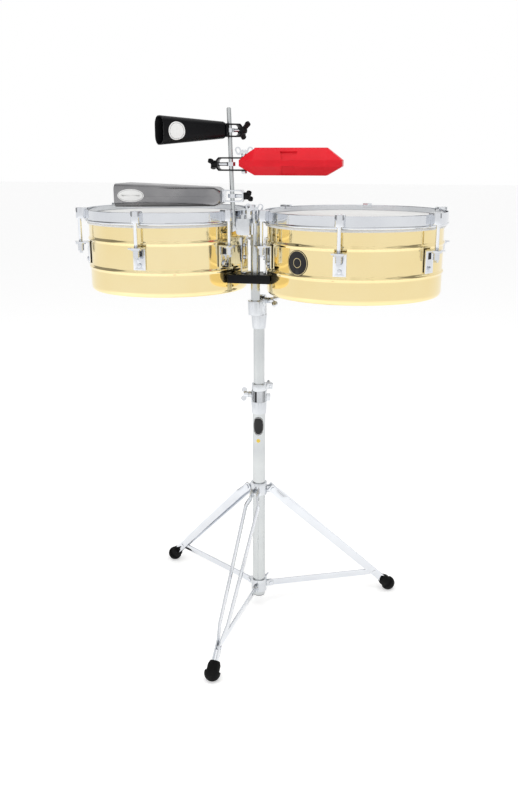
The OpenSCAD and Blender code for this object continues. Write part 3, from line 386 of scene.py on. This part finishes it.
def wallLine(radius, base, top):
    shape = shellShape
    points = []
    for i in range(shape["footParts"] + 1):
        turn = math.radians(90 * i / shape["footParts"])
        points.append((radius - shape["footIn"] * (1 - math.sin(turn)),
                       base + shape["footHeight"] * (1 - math.cos(turn))))
    points.append((radius, base + shape["footHeight"] + shape["flatEdge"]))
    for bead in (base + shape["beadFromEnds"], top - shape["beadFromEnds"]):
        points.append((radius, bead - shape["beadHalf"] - shape["flatEdge"]))
        for i in range(-shape["beadParts"], shape["beadParts"] + 1):
            share = i / shape["beadParts"]
            rise = (0.5 + 0.5 * math.cos(math.pi * share)) ** shape["beadFullness"]
            points.append((radius + shape["beadProud"] * rise, bead + shape["beadHalf"] * share))
        points.append((radius, bead + shape["beadHalf"] + shape["flatEdge"]))
    points.append((radius, top - shape["lip"] - shape["flatEdge"]))
    points.append((radius, top - shape["lip"]))
    return points


def buildShell(side):
    low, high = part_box(side + "_shell")
    radius = (high.x - low.x) / 2 - shellShape["beadProud"]
    outer = wallLine(radius, low.z, high.z)
    inner = [(r - shellShape["wall"], z) for r, z in outer]
    lip = [(radius - shellShape["wall"] / 2, high.z)]
    outline = outer + lip + inner[::-1] + outer[:1]
    shell = turnedPiece(side + "Shell", (low + high) / 2, outline, shellShape["steps"])
    smoothByAngle(shell, 40)
    dress(shell, finishes["brass"], bodyOf[side + "_shell"])
    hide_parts(side + "_shell")
    return radius


hoopShape = {"bandOut": 8 * mm, "bandThick": 2.3 * mm, "bandHigh": 21 * mm, "lip": 0.9 * mm,
             "bandFoot": 1.6 * mm, "footRing": 2.4 * mm, "lipRing": 0.8 * mm, "beadOut": 6.4 * mm,
             "beadRadius": 3.1 * mm, "beadDrop": 23.4 * mm, "beadArc": (124, 420), "beadParts": 22,
             "steps": 180}


def buildHoop(side, radius):
    shape = hoopShape
    low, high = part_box(side + "_hoop")
    outerR = radius + shape["bandOut"]
    innerR = outerR - shape["bandThick"]
    bandBase = high.z - shape["bandHigh"]
    top = arcPoints(outerR - shape["lip"], high.z - shape["lip"], shape["lip"], 0, 90, 4)
    top += arcPoints(innerR + shape["lip"], high.z - shape["lip"], shape["lip"], 90, 180, 4)
    bead = arcPoints(radius + shape["beadOut"], high.z - shape["beadDrop"], shape["beadRadius"],
                     *shape["beadArc"], shape["beadParts"])
    flat = [bandBase + shape["bandFoot"], bandBase + shape["footRing"],
            high.z - shape["lip"] - shape["lipRing"]]
    outline = [(outerR, z) for z in flat] + top + [(innerR, z) for z in flat[::-1]] + bead
    outline.append(outline[0])
    hoop = turnedPiece(side + "Hoop", (low + high) / 2, outline, shape["steps"])
    smoothByAngle(hoop, 40)
    dress(hoop, finishes["chrome"], bodyOf[side + "_hoop"])
    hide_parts(side + "_hoop")


headShape = {"film": 0.6 * mm, "edge": 2.2 * mm, "skirtOut": 0.6 * mm, "ringOut": 3 * mm,
             "ringTall": 9.6 * mm, "ringRound": 1 * mm, "stepAt": 9 * mm, "stepFlat": 1 * mm,
             "stepWide": 0.8 * mm, "stepDown": 0.25 * mm, "shoulderIn": 0.5 * mm, "shoulderDown": 0.6 * mm,
             "skirtDown": 1.6 * mm, "innerIn": 0.6 * mm, "innerDown": 1.2 * mm, "steps": 160}


def buildHead(side, radius):
    shape = headShape
    low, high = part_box(side + "_head")
    skirt = radius + shape["skirtOut"]
    rounding = shape["ringRound"]
    stepR = radius - shape["stepAt"]
    ringR = radius + shape["ringOut"]
    ringTop = low.z + shape["ringTall"]
    ring = arcPoints(ringR - rounding, ringTop - rounding, rounding, 90, 0, 3)
    foot = arcPoints(ringR - rounding, low.z + rounding, rounding, 0, -90, 3)
    above = [(0, high.z), (radius * 0.5, high.z), (stepR - shape["stepFlat"], high.z), (stepR, high.z)]
    above += [(stepR + shape["stepWide"], high.z - shape["stepDown"]),
              (radius - shape["edge"], high.z - shape["stepDown"])]
    above += [(skirt + shape["film"] - shape["shoulderIn"], high.z - shape["shoulderDown"]),
              (skirt + shape["film"], high.z - shape["skirtDown"])]
    below = [(skirt, low.z), (skirt, high.z - shape["skirtDown"]),
             (skirt - shape["innerIn"], high.z - shape["innerDown"])]
    below += [(radius - shape["edge"], high.z - shape["stepDown"] - shape["film"]),
              (radius * 0.5, high.z - shape["film"]), (0, high.z - shape["film"])]
    outline = above + [(skirt + shape["film"], ringTop)] + ring + foot + below
    head = turnedPiece(side + "Head", (low + high) / 2, outline, shape["steps"])
    smoothByAngle(head, 40)
    dress(head, finishes["head_film"], bodyOf[side + "_head"])
    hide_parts(side + "_head")


drumRadius = {}
for drumSide in ("left", "right"):
    drumRadius[drumSide] = buildShell(drumSide)
    buildHoop(drumSide, drumRadius[drumSide])
    buildHead(drumSide, drumRadius[drumSide])
print("drums turned")


# Castings, bars and nuts with softened edges, from the frame's own shapes

softEdges = {
    "height_clamp": 0.5, "leg_collar": 0.5, "brace_collar": 0.5, "memory_lock": 0.5, "tilter_base": 0.6,
    "tilter_socket": 0.6, "post_clamp": 0.6, "left_lugs": 0.4, "right_lugs": 0.4, "left_bracket": 0.5,
    "right_bracket": 0.5, "left_tension_hooks": 0.6, "right_tension_hooks": 0.6, "crossbar": 1.2,
    "crossbar_screws": 0.4, "left_drum_bolts": 0.4, "right_drum_bolts": 0.4, "height_wing_bolt": 0.5,
    "tilter_wing_bolt": 0.5, "memory_lock_wing_bolt": 0.5, "brace_collar_wing_bolt": 0.5,
    "post_clamp_wing_bolt": 0.5, "jam_block_fixing_bolt": 0.5, "upper_bell_clamp": 0.5,
    "lower_bell_clamp": 0.5, "jam_block_bracket": 0.5, "upper_bell_wing_nut": 0.7,
    "lower_bell_wing_nut": 0.7, "jam_block_wing_nut": 0.7, "upper_bell": 0.45, "lower_bell": 0.4,
    "left_leg": 0.4, "front_leg": 0.4, "right_leg": 0.4, "left_brace": 0.5, "front_brace": 0.5,
    "right_brace": 0.5, "left_foot": 0.8, "front_foot": 0.8, "right_foot": 0.8,
}


def softenNode(nodeName, width, sharpest=38):
    source = frame["nodes"][nodeName]
    piece = bpy.data.objects.new(nodeName + "Finished", source.data.copy())
    bpy.context.scene.collection.objects.link(piece)
    piece.data.name = piece.name
    editAll(piece)
    bpy.ops.mesh.remove_doubles(threshold=0.005 * mm)
    bpy.ops.mesh.select_all(action="SELECT")
    bpy.ops.mesh.dissolve_limited(angle_limit=math.radians(0.6))
    endEdit()
    applyModifier(piece, "BEVEL", width=width * mm, segments=2, limit_method="ANGLE",
                  angle_limit=math.radians(sharpest), use_clamp_overlap=True)
    smoothByAngle(piece, sharpest)
    dress(piece, finishes[slotOf[nodeName]], bodyOf[nodeName])
    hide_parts(nodeName)
    return piece


softened = {name: softenNode(name, width) for name, width in softEdges.items()}
blockEdge = {"width": 0.9, "sharpest": 16}
softened["jam_block"] = softenNode("jam_block", **blockEdge)
print("edges softened:", len(softened))


# Generic labels: a disc or oval laid on a surface, with rings in their own finish

def labelOn(name, target, at, facing, size, rings, thick, body):
    bpy.ops.mesh.primitive_circle_add(vertices=72, radius=0.5, fill_type="NGON", location=at,
                                      rotation=Vector(facing).to_track_quat("Z", "Y").to_euler())
    label = newPiece(name)
    label.scale = (size[0], size[1], 1)
    applyPlace(label)
    dress(label, finishes[rings[0][1]], body)
    editAll(label)
    bpy.ops.mesh.select_mode(type="FACE")
    for index, (width, look) in enumerate(rings):
        if index:
            bpy.ops.mesh.inset(thickness=rings[index - 1][0])
            label.data.materials.append(finishes[look])
            label.active_material_index = index
            bpy.ops.object.material_slot_assign()
    for _ in range(3):
        bpy.ops.mesh.inset(thickness=rings[-1][0])
    bpy.ops.mesh.poke()
    endEdit()
    applyModifier(label, "SHRINKWRAP", target=target, wrap_method="NEAREST_SURFACEPOINT",
                  wrap_mode="ABOVE_SURFACE", offset=0.15 * mm)
    applyModifier(label, "SOLIDIFY", thickness=thick, offset=1)
    smoothByAngle(label, 40)
    return label


def towards(degrees):
    return Vector((math.cos(math.radians(degrees)), math.sin(math.radians(degrees)), 0))


badge = {"angle": -120.9, "height": 865.1 * mm, "across": 52 * mm, "thick": 0.9 * mm}
drumCentre = sum(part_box("right_shell"), Vector()) / 2
badgeAt = drumCentre + towards(badge["angle"]) * drumRadius["right"]
badgeAt.z = badge["height"]
labelOn("drumBadge", bpy.data.objects["rightShell"], badgeAt, towards(badge["angle"]),
        (badge["across"], badge["across"]),
        [(1.2 * mm, "enamelBlack"), (0.9 * mm, "brass"), (14 * mm, "enamelBlack"), (0.8 * mm, "brass"),
         (2.4 * mm, "enamelBlack")], badge["thick"], "right_drum")

tubeLabel = {"angle": -84, "height": 468 * mm, "wide": 34 * mm, "tall": 44 * mm, "dotDrop": 36 * mm,
             "dot": 9 * mm}
tubeLow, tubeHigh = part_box("lower_tube")
tubeFront = (tubeLow + tubeHigh) / 2 + towards(tubeLabel["angle"]) * (tubeHigh.x - tubeLow.x) / 2
tubeFront.z = tubeLabel["height"]
labelOn("tubeLabel", frame["nodes"]["lower_tube"], tubeFront, towards(tubeLabel["angle"]),
        (tubeLabel["wide"], tubeLabel["tall"]),
        [(1.4 * mm, "enamelBlack"), (0.7 * mm, "labelWhite"), (3.6 * mm, "enamelBlack")],
        0.25 * mm, "stand")
dotAt = tubeFront - Vector((0, 0, tubeLabel["dotDrop"]))
labelOn("tubeDot", frame["nodes"]["lower_tube"], dotAt, towards(tubeLabel["angle"]),
        (tubeLabel["dot"], tubeLabel["dot"]), [(1.1 * mm, "labelYellow")], 0.2 * mm, "stand")

upperSticker = {"height": 1125 * mm, "along": 129 * mm, "side": 21 * mm, "drop": 3.3 * mm,
                "across": 37 * mm, "turn": 42}
postLow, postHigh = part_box("accessory_post")
postHalf = 4.75 * mm


def postAt(height):
    share = (height - postLow.z) / (postHigh.z - postLow.z)
    foot, tip = postHigh.x - postHalf, postLow.x + postHalf
    return Vector((foot + (tip - foot) * share, (postLow.y + postHigh.y) / 2, height))


upperPost = postAt(upperSticker["height"])
bellAxis = -towards(upperSticker["turn"])
bellSide = Vector((-bellAxis.y, bellAxis.x, 0))
stickerAt = upperPost + bellAxis * upperSticker["along"] + bellSide * upperSticker["side"]
stickerAt.z -= upperSticker["drop"]
labelOn("upperBellLabel", softened["upper_bell"], stickerAt, bellSide,
        (upperSticker["across"], upperSticker["across"]),
        [(2.4 * mm, "labelWhite"), (0.8 * mm, "labelGrey"), (3 * mm, "labelWhite")],
        0.25 * mm, "upper_bell")

lowerSticker = {"height": 993.3 * mm, "along": 206 * mm, "side": 55.6 * mm, "rise": 1 * mm,
                "wide": 56 * mm, "tall": 26.5 * mm, "facing": (0.119, -0.993, 0)}
lowerPost = postAt(lowerSticker["height"])
lowerAt = lowerPost + Vector((-lowerSticker["along"], -lowerSticker["side"], lowerSticker["rise"]))
labelOn("lowerBellLabel", softened["lower_bell"], lowerAt, lowerSticker["facing"],
        (lowerSticker["wide"], lowerSticker["tall"]),
        [(1.6 * mm, "labelWhite"), (0.6 * mm, "labelGrey"), (2.6 * mm, "labelWhite")],
        0.25 * mm, "lower_bell")
print("labels laid")


# Folded seams along both sides of the steel bell

seam = {"from": 36 * mm, "to": 176 * mm, "tall": 1.5 * mm, "proud": 0.35 * mm, "round": 0.3 * mm,
        "slope": 6.82, "sideAt": 34 * mm, "sideFrom": 33 * mm, "spread": 0.1196, "rise": -0.6 * mm}


def buildSeam(side, name):
    length = seam["to"] - seam["from"]
    middle = (seam["from"] + seam["to"]) / 2
    sideways = seam["sideAt"] + (middle - seam["sideFrom"]) * seam["spread"]
    at = lowerPost + Vector((-middle, side * sideways, seam["rise"]))
    bpy.ops.mesh.primitive_cube_add(size=1, location=at, rotation=(0, 0, -side * math.radians(seam["slope"])))
    strip = newPiece(name)
    strip.scale = (length / math.cos(math.radians(seam["slope"])), 2 * seam["proud"], seam["tall"])
    applyPlace(strip)
    editAll(strip)
    bpy.ops.mesh.subdivide(number_cuts=1)
    endEdit()
    applyModifier(strip, "BEVEL", width=seam["round"], segments=3, limit_method="ANGLE",
                  angle_limit=math.radians(40))
    smoothByAngle(strip, 60)
    dress(strip, finishes["bell_steel"], "lower_bell")


buildSeam(-1, "frontBellSeam")
buildSeam(1, "rearBellSeam")


# Thin gaskets that seat the lugs on the round shells

gasket = {"wide": 25 * mm, "thick": 1.35 * mm, "gap": 0.1 * mm, "corner": 3 * mm, "edgeIn": 1 * mm,
          "turn": -92.4, "count": 6}


def buildGasket(side):
    lugLow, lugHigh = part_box(side + "_lugs")
    centre = sum(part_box(side + "_shell"), Vector()) / 2
    tall = lugHigh.z - lugLow.z - 2 * gasket["edgeIn"]
    for index in range(gasket["count"]):
        angle = gasket["turn"] + 360 * index / gasket["count"]
        at = centre + towards(angle) * (drumRadius[side] + gasket["thick"] / 2 + gasket["gap"])
        at.z = (lugLow.z + lugHigh.z) / 2
        bpy.ops.mesh.primitive_cube_add(size=1, location=at, rotation=(0, 0, math.radians(angle)))
        pad = newPiece(side + "LugGasket" + str(index + 1))
        pad.scale = (gasket["thick"], gasket["wide"], tall)
        applyPlace(pad)
        editAll(pad)
        bpy.ops.mesh.select_mode(type="EDGE")
        bpy.ops.mesh.select_all(action="DESELECT")
        endEdit()
        outward = towards(angle)
        points = pad.data.vertices
        for edge in pad.data.edges:
            along = (points[edge.vertices[0]].co - points[edge.vertices[1]].co).normalized()
            edge.select = abs(along.dot(outward)) > 0.9
        bpy.ops.object.mode_set(mode="EDIT")
        bpy.ops.mesh.bevel(offset=gasket["corner"], segments=5, affect="EDGES")
        endEdit()
        smoothByAngle(pad, 35)
        dress(pad, finishes["nylon"], bodyOf[side + "_lugs"])


buildGasket("left")
buildGasket("right")
print("seams and gaskets fitted")
